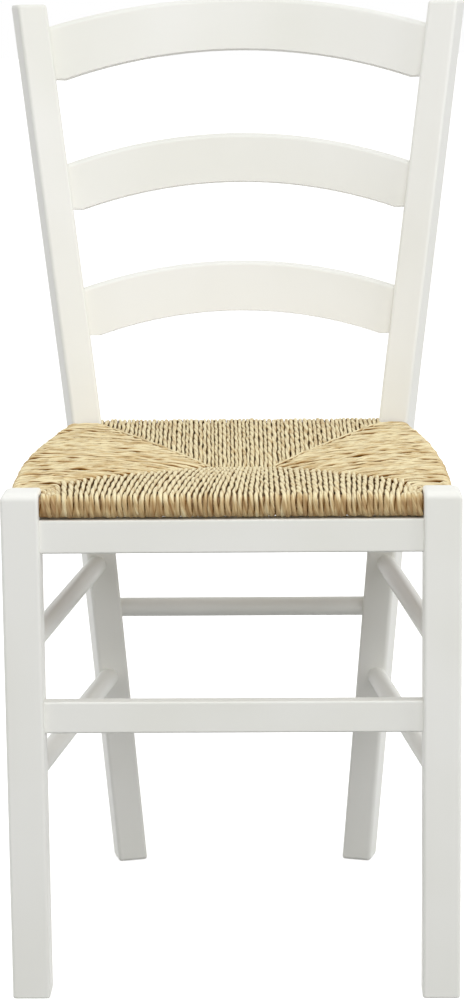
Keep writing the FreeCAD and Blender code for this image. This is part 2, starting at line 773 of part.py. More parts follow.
def build():
    """Every piece of the chair, by name."""
    made = {}
    for name, slat in SLATS.items():
        made[name] = make_slat(slat)
    made["front_apron"] = flat_rail(APRON_BOTTOM, APRON_HEIGHT, APRON_THICKNESS, APRON_SET_BACK)
    made["front_stretcher"] = flat_rail(
        FRONT_STRETCHER_BOTTOM,
        FRONT_STRETCHER_HEIGHT,
        FRONT_STRETCHER_THICKNESS,
        FRONT_STRETCHER_SET_BACK,
    )
    made["rear_stretcher"] = rear_stretcher()
    for name in SIDES:
        made["upper_side_stretcher_" + name] = side_stretcher(name, UPPER_STRETCHER_HEIGHT)
        made["lower_side_stretcher_" + name] = side_stretcher(name, LOWER_STRETCHER_HEIGHT)
        made["side_seat_rail_" + name] = side_rail(name)
    made["front_seat_rail"] = cross_rail(True)
    made["rear_seat_rail"] = cross_rail(False)

    pieces = {name: member for name, (member, sockets) in made.items()}
    holes = {}
    for member, sockets in made.values():
        for post_name, socket in sockets:
            holes.setdefault(post_name, []).append(socket)

    pins = []
    for name, slat in SLATS.items():
        pin_holes = []
        for side_name, side in SIDES.items():
            pins.append(slat_pin(side, slat, 0))
            pin_holes.append(slat_pin(side, slat, METAL_CLEARANCE))
            holes["rear_post_" + side_name].append(pin_holes[-1])
        pieces[name] = pieces[name].cut(pin_holes)
    pieces["slat_pins"] = Part.makeCompound(pins)

    tacks = [TACK_SET_BACK, TACK_SET_BACK + TACK_SPACING]
    pieces["rush_tacks"] = Part.makeCompound([tack(set_back, 0) for set_back in tacks])
    tack_holes = [tack(set_back, METAL_CLEARANCE) for set_back in tacks]
    pieces["side_seat_rail_left"] = pieces["side_seat_rail_left"].cut(tack_holes)
    heads = [tack(set_back, RUSH_CLEARANCE) for set_back in tacks]

    blanks = [
        cross_rail_bar(FRONT_RAIL_SET_BACK, cross_rail_reach(True), RUSH_CLEARANCE),
        cross_rail_bar(REAR_RAIL_SET_BACK, cross_rail_reach(False), RUSH_CLEARANCE),
        side_rail_bar(-1, RUSH_CLEARANCE),
        side_rail_bar(1, RUSH_CLEARANCE),
    ]
    for name in PANELS:
        pieces["stuffing_" + name] = seat_place(stuffing_pocket(name, 0))
        blanks.append(stuffing_pocket(name, RUSH_CLEARANCE))
    grown = []
    for side in SIDES.values():
        grown.append(front_leg(side, RUSH_CLEARANCE))
        grown.append(post_stretch(side, bend_heights()[0], bend_heights()[-1], RUSH_CLEARANCE))
    pieces["rush_weave"] = rush(blanks, grown, heads)
    for name, side in SIDES.items():
        pieces["front_leg_" + name] = front_leg(side).cut(holes["front_leg_" + name])
        pieces["rear_post_" + name] = rear_post(side).cut(holes["rear_post_" + name])
    return pieces


def to_origin(pieces):
    """Move the chair so that its origin is on the floor in the middle of its width and depth."""
    boxes = [piece.optimalBoundingBox() for piece in pieces.values()]
    front = min(box.YMin for box in boxes)
    back = max(box.YMax for box in boxes)
    step = Vector(0, -(front + back) / 2, 0)
    return {name: moved(piece, step) for name, piece in pieces.items()}


os.makedirs("parts", exist_ok=True)
for node, shape in to_origin(build()).items():
    print(node, shape.isValid(), len(shape.Solids), round(shape.Volume))
    shape.exportStep("parts/" + node + ".step")
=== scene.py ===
import math
import random

import bmesh
import bpy
from bpy.props import FloatProperty, FloatVectorProperty, PointerProperty
from mathutils import Matrix, Vector, noise


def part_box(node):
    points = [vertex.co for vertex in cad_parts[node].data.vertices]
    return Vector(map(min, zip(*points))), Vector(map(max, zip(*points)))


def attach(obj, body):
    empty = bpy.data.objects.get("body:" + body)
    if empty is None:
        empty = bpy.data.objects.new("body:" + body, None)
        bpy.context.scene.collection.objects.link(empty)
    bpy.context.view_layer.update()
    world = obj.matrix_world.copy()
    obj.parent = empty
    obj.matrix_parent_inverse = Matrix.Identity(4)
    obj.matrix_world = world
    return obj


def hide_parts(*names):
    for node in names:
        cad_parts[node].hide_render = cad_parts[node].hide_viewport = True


bl_info = {
    "name": "Ladderback rush chair",
    "version": (1, 0, 0),
    "blender": (4, 5, 0),
    "location": "View3D > Sidebar > Chair",
    "description": "A white lacquered ladderback chair with a woven rush seat",
    "category": "Object",
}

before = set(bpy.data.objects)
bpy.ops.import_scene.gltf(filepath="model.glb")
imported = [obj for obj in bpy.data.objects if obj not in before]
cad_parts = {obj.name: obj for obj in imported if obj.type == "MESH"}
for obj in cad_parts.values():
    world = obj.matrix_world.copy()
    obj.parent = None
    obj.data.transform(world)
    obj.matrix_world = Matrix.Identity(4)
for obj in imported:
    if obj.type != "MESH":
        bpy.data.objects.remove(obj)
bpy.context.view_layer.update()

MM = 0.001
SIDES = {"left": -1, "right": 1}

# Places read from the fixed frame
FRONT_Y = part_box("front_leg_left")[0].y
FRONT_RAIL = sum(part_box("front_seat_rail"), Vector()) / 2
REAR_RAIL = sum(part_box("rear_seat_rail"), Vector()) / 2
RUSH_LOW, RUSH_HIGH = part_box("rush_weave")
SEAT_BACKWARD = (REAR_RAIL - FRONT_RAIL).normalized()
SEAT_UP = Vector((1, 0, 0)).cross(SEAT_BACKWARD)

# Plan of the seat: the woven sides bow outwards, the left one more, and the rear posts' faces end them
SIDE_EDGE = {
    "left": ((33 * MM, 192.5 * MM), (215 * MM, 192.5 * MM), (370 * MM, 170.5 * MM)),
    "right": ((33 * MM, 191 * MM), (215 * MM, 188 * MM), (370 * MM, 167 * MM)),
}
POST_FRONT = FRONT_Y + 371 * MM
POST_INNER = 139.5 * MM
CREST_FRONT_X = 176.8 * MM
CREST_REAR_X = 151.8 * MM

# Next to each front leg a few cords turn the corner in a bundle, and the panels start behind it.
# A cord of the bundle starts on the side rail, bends in a round turn and ends on the front rail, and
# each next cord starts, bends and ends one step further from the leg.
SIDE_START = FRONT_Y + 60 * MM
FRONT_START = 145.5 * MM
HIP_START = Vector((152.5 * MM, FRONT_Y + 73.5 * MM))
CORNER_SIDE = FRONT_Y + 37 * MM
CORNER_SIDE_STEP = 6.0 * MM
CORNER_FAN = 3.2 * MM
CORNER_ROUND = 7 * MM
CORNER_TURN = 162 * MM
CORNER_TURN_STEP = 2.6 * MM
CORNER_FRONT = 161.2 * MM
CORNER_FRONT_STEP = 4.5 * MM
CORNER_CORDS = 4
CORNER_WIDTH = 5.5 * MM
CORNER_DROP = 1.2 * MM

# The thin leaf on the line between a side panel and the rear one. Its middle lies the thickness of a
# cord, divided by HIP_SHARE, above the middles of the cords.
HIP_LEAF = 3.2 * MM
HIP_SHARE = 2.5

# The bundle and the leaf lie evenly, and they are a little paler than the side panels' other cords
LOOSE_UNEVEN = 0.0
LOOSE_PALER = 0.4

# Seat rails inside the rush, which turns round them
RAIL_HALF_THICKNESS = 6.5 * MM
RAIL_CORNER = 3.0 * MM

# The studio floor: how much light it throws back on the chair, and how far it is lifted for the eye
FLOOR_BOUNCE = 0.2
FLOOR_LIFT = 0.6

# The floor's reach each way, in metres, far past the edge of the picture
FLOOR_REACH = 60.0

# Second colours of the hidden finishes, as sRGB hex digits: flecks in the beech, marks on the steel
BEECH_FLECK = "B98E5C"
STEEL_MARK = "8C8984"

# A cord's section has RING_SIDES sides. Its points lie close together on top, where it shows, further
# apart underneath, and a few steps apart on a rail's face and round its corners.
RING_SIDES = 8
TOP_STEP = 3 * MM
LOW_STEP = 9 * MM
FACE_STEPS = 3
TURN_STEPS = 3

# A cord's upper end dips into the seam or a hip. Each row says how far past the end a point lies, in
# halves of TUCK_REACH, and how deep, in thicknesses of the cord.
TUCK_REACH = 4 * MM
TUCK_DIPS = ((2, 1.6), (1, 0.7), (0, 0.1))

# The rear panel's cords that run to the seam's ends lie this much further out on their rail
REAR_FAN = 2 * MM

# The groove between the two leaves: its depth as a share of the radius, and how narrow it is
GROOVE_DEPTH = 0.34
GROOVE_POWER = 6

# Cords are pressed wider on the rails' faces and most of all underneath, to close the gaps there
FACE_PRESS = 0.16
LOW_PRESS = 0.6

# Tone: how much browner and darker a cord is on a rail's face and underneath, partly the rush's own
# browner colour there and partly painted shade, and how much paler each panel is painted than the sides,
# which is painted light
FACE_BROWN_AND_SHADE = 3.3
PANEL_PAINTED_LIGHT = {"front": 1.2, "rear": 0.7, "left": 0.0, "right": 0.0}

# How far the cords of each panel lie above or below one another on top: the sides are the least even
UNEVEN = {"front": 0.2 * MM, "rear": 0.25 * MM, "left": 1.05 * MM, "right": 1.0 * MM}

# How a hand-twisted cord varies along its length: it swells as a share of its thickness, sways
# sideways and rises and falls, each over the length of one change
SWELL = 0.22
SWELL_LENGTH = 11 * MM
SWAY = 0.9 * MM
SWAY_LENGTH = 20 * MM
RISE = 0.55 * MM
RISE_LENGTH = 16 * MM

# How one cord differs from the next: its width and its lay as shares, and how far along the pattern of
# the fibres it may start, in metres
WIDTH_RANGE = (0.8, 1.2)
LAY_RANGE = (0.6, 1.5)
FIBRE_START = 50

# Thickness of a cord's ends, as a share of the rest
END_TAPER = 0.6

# The straw pads: points closer than PAD_MERGE are joined, edges longer than PAD_EDGE are divided, in a
# few rounds, and the surface sinks by PAD_SINK on average, unevenly, in lumps of PAD_LUMP
PAD_MERGE = 0.01 * MM
PAD_EDGE = 12 * MM
PAD_ROUNDS = 4
PAD_SINK = 0.6 * MM
PAD_LUMP = 9 * MM


def linear(code):
    """A colour written as sRGB hex digits, as linear values with full opacity."""
    channels = [int(code[start:start + 2], 16) / 255 for start in (0, 2, 4)]
    return [c / 12.92 if c <= 0.04045 else ((c + 0.055) / 1.055) ** 2.4 for c in channels] + [1.0]


class ChairSizes(bpy.types.PropertyGroup):
    """Sizes of the rush, and the light and the lens of the photograph's view."""

    cord: FloatProperty(
        name="Rush cord", description="Thickness of the twisted rush cord",
        default=4.2 * MM, min=2 * MM, max=8 * MM, unit="LENGTH")
    front_cord: FloatProperty(
        name="Front cord", description="Mean width of the pressed cords of the front panel",
        default=4.75 * MM, min=2 * MM, max=8 * MM, unit="LENGTH")
    lay: FloatProperty(
        name="Lay", description="Length of one full twist of the cord",
        default=56 * MM, min=10 * MM, max=120 * MM, unit="LENGTH")
    crown_front: FloatProperty(
        name="Front crown", description="How full the seat is in front: 1 is flat, more is fuller",
        default=2.2, min=1, max=4)
    crown_rear: FloatProperty(
        name="Rear crown", description="How full the seat is at the rear: 1 is flat, more is fuller",
        default=1.2, min=1, max=4)
    dish: FloatProperty(
        name="Dish", description="How far the seat's middle lies below its rails",
        default=13 * MM, min=0.0, max=18 * MM, unit="LENGTH")
    seam: FloatProperty(
        name="Seam", description="Length of the seam in the middle of the seat",
        default=62 * MM, min=10 * MM, max=120 * MM, unit="LENGTH")
    seam_shift: FloatProperty(
        name="Seam shift", description="How far the seam lies to the right of the middle",
        default=5 * MM, min=-20 * MM, max=20 * MM, unit="LENGTH")
    seam_set_back: FloatProperty(
        name="Seam set-back", description="The seam's distance behind the front legs' faces",
        default=205 * MM, min=150 * MM, max=250 * MM, unit="LENGTH")
    fan: FloatProperty(
        name="Fan", description="How much further apart the cords at the seam's ends lie on their rails",
        default=10 * MM, min=0.0, max=30 * MM, unit="LENGTH")
    key_light: FloatProperty(
        name="Key light", description="Power of the lamp above and in front",
        default=21.5, min=0, unit="POWER")
    right_light: FloatProperty(
        name="Right light", description="Power of the lamp on the right", default=21, min=0, unit="POWER")
    front_light: FloatProperty(
        name="Front light", description="Power of the low lamp in front", default=8, min=0, unit="POWER")
    left_light: FloatProperty(
        name="Left light", description="Power of the lamp on the left", default=6, min=0, unit="POWER")
    back_light: FloatProperty(
        name="Back light", description="Power of the lamp behind", default=3.5, min=0, unit="POWER")
    surround: FloatProperty(
        name="Surround", description="Strength of the even light from all around", default=0.7, min=0, max=1)
    lens: FloatProperty(
        name="Lens", description="Focal length on a 36 mm sensor", default=94.28, min=10, unit="CAMERA")


class ChairColours(bpy.types.PropertyGroup):
    """Colours of the chair's finishes."""

    lacquer: FloatVectorProperty(
        name="Lacquer", description="White satin lacquer on the frame",
        default=linear("F1F1EC"), size=4, min=0, max=1, subtype="COLOR")
    lacquer_thin: FloatVectorProperty(
        name="Thin lacquer", description="Slightly warmer white where the coat is thin",
        default=linear("ECECE5"), size=4, min=0, max=1, subtype="COLOR")
    rush_light: FloatVectorProperty(
        name="Light rush", description="Palest straw colour of the rush",
        default=linear("F6E9C0"), size=4, min=0, max=1, subtype="COLOR")
    rush_middle: FloatVectorProperty(
        name="Rush", description="Usual straw colour of the rush",
        default=linear("D8BF8E"), size=4, min=0, max=1, subtype="COLOR")
    rush_dark: FloatVectorProperty(
        name="Dark rush", description="Tanned, browner leaves in the rush",
        default=linear("A8865C"), size=4, min=0, max=1, subtype="COLOR")
    # Painted shade: this brown darkens the grooves in a cord and the gaps between cords, where shade falls
    rush_gap_shade: FloatVectorProperty(
        name="Rush gaps", description="Brown of the grooves in a cord and the gaps between cords",
        default=linear("8A5A12"), size=4, min=0, max=1, subtype="COLOR")
    beech: FloatVectorProperty(
        name="Beech", description="Bare beech of the hidden seat rails",
        default=linear("D2AD7C"), size=4, min=0, max=1, subtype="COLOR")
    steel: FloatVectorProperty(
        name="Steel", description="Drawn steel of the pins and tacks",
        default=linear("A9A7A2"), size=4, min=0, max=1, subtype="COLOR")
    floor: FloatVectorProperty(
        name="Floor", description="Pale studio floor",
        default=linear("F4F4F2"), size=4, min=0, max=1, subtype="COLOR")


def add_node(tree, kind, inputs=None, stops=(), **settings):
    """Add a node with its settings, give its inputs values or links, and a colour ramp its stops."""
    made = tree.nodes.new(kind)
    for name, value in settings.items():
        setattr(made, name, value)
    for index, (place, colour) in enumerate(stops):
        elements = made.color_ramp.elements
        element = elements[index] if index < len(elements) else elements.new(place)
        element.position = place
        element.color = colour
    for name, value in (inputs or {}).items():
        if isinstance(value, bpy.types.NodeSocket):
            tree.links.new(value, made.inputs[name])
        else:
            made.inputs[name].default_value = value
    return made


def new_material(name):
    """An empty node material, with its tree and its output node."""
    material = bpy.data.materials.new(name)
    material.use_nodes = True
    tree = material.node_tree
    tree.nodes.clear()
    return material, tree, add_node(tree, "ShaderNodeOutputMaterial")


def grey(value):
    """An opaque grey."""
    return (value, value, value, 1)


def lacquered_beech(name, along, colours):
    """Beech under sprayed white satin lacquer.

    The eye sees an even white with the faintest warm clouding, a soft satin gloss, a fine ripple of the
    sprayed coat, and under it the faint lines of the grain, which run the long way of each piece.
    """
    material, tree, output = new_material(name)
    place = add_node(tree, "ShaderNodeTexCoord").outputs["Object"]
    # Grain lines: about 0.9 mm wide and 70 mm long, drawn a little coarser than real ones to show.
    scale = [1 / (0.9 * MM)] * 3
    scale["xyz".index(along)] = 1 / (70 * MM)
    stretched = add_node(tree, "ShaderNodeMapping", {"Vector": place, "Scale": scale})
    grain = add_node(tree, "ShaderNodeTexNoise", {
        "Vector": stretched.outputs[0], "Scale": 1.0, "Detail": 2.0})
    ripple = add_node(tree, "ShaderNodeTexNoise", {"Vector": place, "Scale": 1 / (2.2 * MM), "Detail": 1.0})
    cloud = add_node(tree, "ShaderNodeTexNoise", {"Vector": place, "Scale": 1 / (120 * MM), "Detail": 1.0})
    coat = add_node(tree, "ShaderNodeValToRGB", {"Fac": cloud.outputs["Fac"]}, stops=[
        (0.3, colours.lacquer_thin), (0.65, colours.lacquer)])
    gloss = add_node(tree, "ShaderNodeMapRange", {
        "Value": cloud.outputs["Fac"], "From Min": 0.3, "From Max": 0.7, "To Min": 0.4, "To Max": 0.46})
    relief = add_node(tree, "ShaderNodeMath", {0: grain.outputs["Fac"], 1: ripple.outputs["Fac"]})
    bump = add_node(tree, "ShaderNodeBump", {
        "Height": relief.outputs[0], "Distance": 0.05 * MM, "Strength": 0.3})
    surface = add_node(tree, "ShaderNodeBsdfPrincipled", {
        "Base Color": coat.outputs["Color"], "Roughness": gloss.outputs["Result"],
        "Normal": bump.outputs[0], "IOR": 1.5, "Coat Weight": 0.1, "Coat Roughness": 0.3})
    tree.links.new(surface.outputs[0], output.inputs[0])
    return material


def bare_beech(colours):
    """Sawn and sanded beech without a finish: pinkish tan with fine darker flecks along the grain."""
    material, tree, output = new_material("bare_sanded_beech")
    place = add_node(tree, "ShaderNodeTexCoord").outputs["Object"]
    # Flecks: 14 mm long and wide and 1.2 mm high, which suits rails that lie either way.
    stretched = add_node(tree, "ShaderNodeMapping", {
        "Vector": place, "Scale": [1 / (14 * MM), 1 / (14 * MM), 1 / (1.2 * MM)]})
    grain = add_node(tree, "ShaderNodeTexNoise", {
        "Vector": stretched.outputs[0], "Scale": 1.0, "Detail": 4.0, "Distortion": 0.4})
    tint = add_node(tree, "ShaderNodeValToRGB", {"Fac": grain.outputs["Fac"]}, stops=[
        (0.35, linear(BEECH_FLECK)), (0.6, colours.beech)])
    bump = add_node(tree, "ShaderNodeBump", {
        "Height": grain.outputs["Fac"], "Distance": 0.08 * MM, "Strength": 0.4})
    surface = add_node(tree, "ShaderNodeBsdfPrincipled", {
        "Base Color": tint.outputs["Color"], "Roughness": 0.62, "Normal": bump.outputs[0]})
    tree.links.new(surface.outputs[0], output.inputs[0])
    return material


def drawn_steel(colours):
    """Bright drawn steel wire and pressed tack heads: grey metal with fine drawing marks."""
    material, tree, output = new_material("drawn_steel")
    place = add_node(tree, "ShaderNodeTexCoord").outputs["Object"]
    # Drawing marks: 0.4 mm wide, coarser than real ones, which are too fine to show.
    marks = add_node(tree, "ShaderNodeTexNoise", {"Vector": place, "Scale": 1 / (0.4 * MM), "Detail": 2.0})
    tint = add_node(tree, "ShaderNodeValToRGB", {"Fac": marks.outputs["Fac"]}, stops=[
        (0.3, linear(STEEL_MARK)), (0.7, colours.steel)])
    gloss = add_node(tree, "ShaderNodeMapRange", {
        "Value": marks.outputs["Fac"], "From Min": 0.3, "From Max": 0.7, "To Min": 0.28, "To Max": 0.42})
    surface = add_node(tree, "ShaderNodeBsdfPrincipled", {
        "Base Color": tint.outputs["Color"], "Metallic": 1.0, "Roughness": gloss.outputs["Result"]})
    tree.links.new(surface.outputs[0], output.inputs[0])
    return material


def twisted_rush(colours):
    """Dried rush leaves, twisted by hand into cord of two leaves.

    Pale straw and tan leaves follow each other along a cord in patches, fine fibres follow the twist, brown
    painted shade lies in the groove between the leaves and in the gaps between the cords, where the shine is
    taken away too, the rails' faces and the underside are a little browner and darker than the top, partly in
    the rush's own colour and partly as painted shade, the front and rear panels are painted paler, which is
    painted light, and the smooth skin of the leaves shines softly.
    """
    material, tree, output = new_material("hand_twisted_rush")
    cord = add_node(tree, "ShaderNodeAttribute", attribute_name="cord").outputs["Vector"]
    tone_and_shade_masks = add_node(tree, "ShaderNodeAttribute", attribute_name="tone_and_shade_masks").outputs["Vector"]
    parts = add_node(tree, "ShaderNodeSeparateXYZ", {0: tone_and_shade_masks})
    # Fibres: 0.9 mm wide and 20 mm long. Patches of colour: 3 mm wide and 22 mm long.
    along = add_node(tree, "ShaderNodeMapping", {
        "Vector": cord, "Scale": [1 / (0.9 * MM), 1 / (0.9 * MM), 1 / (20 * MM)]})
    fibre = add_node(tree, "ShaderNodeTexNoise", {
        "Vector": along.outputs[0], "Scale": 1.0, "Detail": 3.0, "Roughness": 0.6})
    wide = add_node(tree, "ShaderNodeMapping", {
        "Vector": cord, "Scale": [1 / (3 * MM), 1 / (3 * MM), 1 / (22 * MM)]})
    patch = add_node(tree, "ShaderNodeTexNoise", {"Vector": wide.outputs[0], "Scale": 1.0, "Detail": 2.0})
    # The cord's tone holds random tone, the panels' painted light and the painted shade on the rails' faces
    # and underneath
    patchy_tone_and_shade = add_node(tree, "ShaderNodeMath", {
        0: parts.outputs["X"], 1: 0.11, 2: patch.outputs["Fac"]}, operation="MULTIPLY_ADD")
    streaked = add_node(tree, "ShaderNodeMath", {
        0: fibre.outputs["Fac"], 1: 0.45, 2: patchy_tone_and_shade.outputs[0]}, operation="MULTIPLY_ADD")
    leaf = add_node(tree, "ShaderNodeValToRGB", {"Fac": streaked.outputs[0]}, stops=[
        (0.34, colours.rush_dark), (0.64, colours.rush_middle), (0.86, colours.rush_light)])
    # Painted shade: the groove between the leaves and the sides of each cord that face away from the outside
    # are darkened towards brown and lose their shine
    line = add_node(tree, "ShaderNodeMath", {0: parts.outputs["Y"], 1: 2.5}, operation="POWER")
    gap_shade = add_node(tree, "ShaderNodeMapRange", {
        "Value": parts.outputs["Z"], "From Min": 0.0, "From Max": 0.66, "To Min": 0.95, "To Max": 0.0})
    thin = add_node(tree, "ShaderNodeMath", {0: line.outputs[0], 1: 0.45}, operation="MULTIPLY")
    painted_crevice_shade = add_node(tree, "ShaderNodeMath", {
        0: thin.outputs[0], 1: gap_shade.outputs["Result"]}, operation="MAXIMUM")
    # A colour mix takes its share at input 0 and its two colours at inputs 6 and 7.
    shaded = add_node(tree, "ShaderNodeMix", {
        0: painted_crevice_shade.outputs[0], 6: leaf.outputs["Color"], 7: colours.rush_gap_shade}, data_type="RGBA")
    bump = add_node(tree, "ShaderNodeBump", {
        "Height": fibre.outputs["Fac"], "Distance": 0.35 * MM, "Strength": 0.7})
    shine = add_node(tree, "ShaderNodeMapRange", {"Value": painted_crevice_shade.outputs[0], "To Min": 0.2, "To Max": 0.0})
    surface = add_node(tree, "ShaderNodeBsdfPrincipled", {
        "Base Color": shaded.outputs[2], "Roughness": 0.6, "Normal": bump.outputs[0],
        "Specular IOR Level": shine.outputs["Result"]})
    tree.links.new(surface.outputs[0], output.inputs[0])
    return material


def loose_straw(colours):
    """Chopped straw, pushed in by hand: dull yellow stalks lying every way."""
    material, tree, output = new_material("loose_straw")
    place = add_node(tree, "ShaderNodeTexCoord").outputs["Object"]
    # Stalks: 18 mm long, 3 mm wide and 2 mm high.
    stretched = add_node(tree, "ShaderNodeMapping", {
        "Vector": place, "Scale": [1 / (18 * MM), 1 / (3 * MM), 1 / (2 * MM)]})
    stalks = add_node(tree, "ShaderNodeTexNoise", {
        "Vector": stretched.outputs[0], "Scale": 1.0, "Detail": 4.0, "Distortion": 1.2})
    tint = add_node(tree, "ShaderNodeValToRGB", {"Fac": stalks.outputs["Fac"]}, stops=[
        (0.35, colours.rush_dark), (0.6, colours.rush_middle)])
    bump = add_node(tree, "ShaderNodeBump", {
        "Height": stalks.outputs["Fac"], "Distance": 1.5 * MM, "Strength": 0.8})
    surface = add_node(tree, "ShaderNodeBsdfPrincipled", {
        "Base Color": tint.outputs["Color"], "Roughness": 0.7, "Normal": bump.outputs[0]})
    tree.links.new(surface.outputs[0], output.inputs[0])
    return material


def finish_nodes(names, material):
    """Give carried-over frame pieces a finish."""
    for name in names:
        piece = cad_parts[name]
        if not piece.material_slots:
            piece.data.materials.append(material)
        for held in piece.material_slots:
            held.material = material


def keep_piece(name, bm, material):
    """Turn a mesh under construction into a finished piece that rides with the chair."""
    mesh = bpy.data.meshes.new(name)
    bm.to_mesh(mesh)
    bm.free()
    mesh.materials.append(material)
    piece = bpy.data.objects.new(name, mesh)
    bpy.context.scene.collection.objects.link(piece)
    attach(piece, "root")
    return piece


# The seat's shape

def seat_point(place, up):
    """A point at a place in plan, some way above the middle plane of the seat rails."""
    point = FRONT_RAIL + SEAT_BACKWARD * (place.y - FRONT_RAIL.y) + SEAT_UP * up
    point.x = place.x
    return point


def side_edge(panel, y):
    """Where the woven side of a side panel lies at a place from front to back, as a place across."""
    set_back = y - FRONT_Y
    total = 0.0
    for index, (here, reach) in enumerate(SIDE_EDGE[panel]):
        share = reach
        for other, (there, _) in enumerate(SIDE_EDGE[panel]):
            if other != index:
                share *= (set_back - there) / (here - there)
        total += share
    return SIDES[panel] * total


def seam_end(side, sizes):
    """An end of the seam in the middle of the seat, in plan."""
    return Vector((side * sizes.seam / 2 + sizes.seam_shift, FRONT_Y + sizes.seam_set_back))


def hip_start(side, front):
    """Where the line between two panels starts near a leg or at a post, in plan."""
    if front:
        return Vector((side * HIP_START.x, HIP_START.y))
    return Vector((side * POST_INNER, POST_FRONT))


def depth_share(place, panel, sizes):
    """How far down its panel a place lies: 0 on the rail's crest, 1 at the seam."""
    seam_y = FRONT_Y + sizes.seam_set_back
    if panel == "front":
        return max((place.y - FRONT_RAIL.y) / (seam_y - FRONT_RAIL.y), 0)
    if panel == "rear":
        return max((REAR_RAIL.y - place.y) / (REAR_RAIL.y - seam_y), 0)
    side = SIDES[panel]
    near = Vector((side * CREST_FRONT_X, FRONT_RAIL.y))
    far = Vector((side * CREST_REAR_X, REAR_RAIL.y))
    inward = (far - near).orthogonal().normalized()
    end = seam_end(side, sizes) - near
    return max((place - near).dot(inward) / end.dot(inward), 0)


def surface_up(place, panel, sizes):
    """Height of the middle of the cord above the rails' middle plane: crowned over the stuffing."""
    backward = (place.y - FRONT_RAIL.y) / (REAR_RAIL.y - FRONT_RAIL.y)
    crown = sizes.crown_front + (sizes.crown_rear - sizes.crown_front) * min(max(backward, 0), 1)
    return rail_crest(sizes) - sizes.dish * depth_share(place, panel, sizes) ** crown


def rail_crest(sizes):
    """Height of the middle of a cord that lies on a rail, above the rails' middle plane."""
    return RAIL_HALF_THICKNESS + sizes.cord / 2


def rail_turn(edge, inward, sizes):
    """A cord's way round the outer face of a rail, from above it to below it."""
    turn = RAIL_CORNER + sizes.cord / 2
    centre = sizes.cord / 2 + turn
    face = rail_crest(sizes) - turn
    points = []
    for step in range(TURN_STEPS + 1):
        angle = math.pi / 2 * step / TURN_STEPS
        points.append((centre - turn * math.sin(angle), face + turn * math.cos(angle)))
    for step in range(1, FACE_STEPS):
        points.append((sizes.cord / 2, face - 2 * face * step / FACE_STEPS))
    points += [(reach, -up) for reach, up in reversed(points[:TURN_STEPS + 1])]
    return [seat_point(edge + inward * reach, up) for reach, up in points]


def cord_route(edge, end, panel, tucked, sizes):
    """The way of one cord: from the panel's end, over the rail, down its face and back underneath."""
    inward = (end - edge).normalized()
    length = (end - edge).length
    radius = sizes.cord / 2
    centre = radius + RAIL_CORNER + radius
    overlap = radius if tucked else 0.0
    points = []
    for past, drop in TUCK_DIPS:
        place = edge + inward * (length + past * TUCK_REACH / 2 + overlap - radius)
        up = surface_up(place, panel, sizes) - drop * sizes.cord - overlap
        points.append(seat_point(place, up))
    steps = max(round((length - centre - radius) / TOP_STEP), 2)
    for step in range(1, steps):
        reach = length - (length - centre) * step / steps
        place = edge + inward * reach
        rise = overlap * math.exp(-(length - reach) / (2 * TUCK_REACH))
        points.append(seat_point(place, surface_up(place, panel, sizes) - rise))
    points += rail_turn(edge, inward, sizes)
    steps = max(round((length - centre) / LOW_STEP), 2)
    for step in range(1, steps + 1):
        place = edge + inward * (centre + (length - centre) * step / steps)
        points.append(seat_point(place, -rail_crest(sizes)))
    points.append(seat_point(end + inward * TUCK_REACH, sizes.cord - rail_crest(sizes)))
    return points


def flat_run(first, last, up, step):
    """Points between two places at one height above the rails' middle plane, without the places."""
    steps = max(round((last - first).length / step), 1)
    return [seat_point(first.lerp(last, number / steps), up) for number in range(1, steps)]


def corner_route(panel, number, sizes):
    """The way of a cord beside a front leg: round the side rail, round the leg, round the front rail."""
    side = SIDES[panel]
    start_y = CORNER_SIDE + number * CORNER_SIDE_STEP
    start = Vector((side_edge(panel, start_y), start_y))
    bend = Vector((side * (CORNER_TURN - number * CORNER_TURN_STEP), start_y + number * CORNER_FAN))
    finish = Vector((side * (CORNER_FRONT - number * CORNER_FRONT_STEP), RUSH_LOW.y))
    inward = (bend - start).normalized()
    backward = (bend - finish).normalized()
    top_start = start + inward * (sizes.cord + RAIL_CORNER)
    top_finish = finish + backward * (sizes.cord + RAIL_CORNER)
    before = bend - inward * CORNER_ROUND
    after = bend - backward * CORNER_ROUND
    up = rail_crest(sizes) - CORNER_DROP
    points = flat_run(bend, top_start, -rail_crest(sizes), LOW_STEP)
    points += reversed(rail_turn(start, inward, sizes))
    points += flat_run(top_start, before, up, TOP_STEP)
    steps = round(2 * CORNER_ROUND / TOP_STEP)
    for step in range(steps + 1):
        share = step / steps
        points.append(seat_point(before.lerp(bend, share).lerp(bend.lerp(after, share), share), up))
    points += flat_run(after, top_finish, up, TOP_STEP)
    points += rail_turn(finish, backward, sizes)
    points += flat_run(top_finish, bend, -rail_crest(sizes), LOW_STEP)
    return points


def hip_route(panel, sizes):
    """The way of the thin leaf that lies along the line between a side panel and the rear panel."""
    first = hip_start(SIDES[panel], False)
    last = seam_end(SIDES[panel], sizes)
    steps = round((last - first).length / TOP_STEP)
    points = []
    for step in range(steps + 1):
        place = first.lerp(last, step / steps)
        points.append(seat_point(place, surface_up(place, panel, sizes) + sizes.cord / HIP_SHARE))
    return points


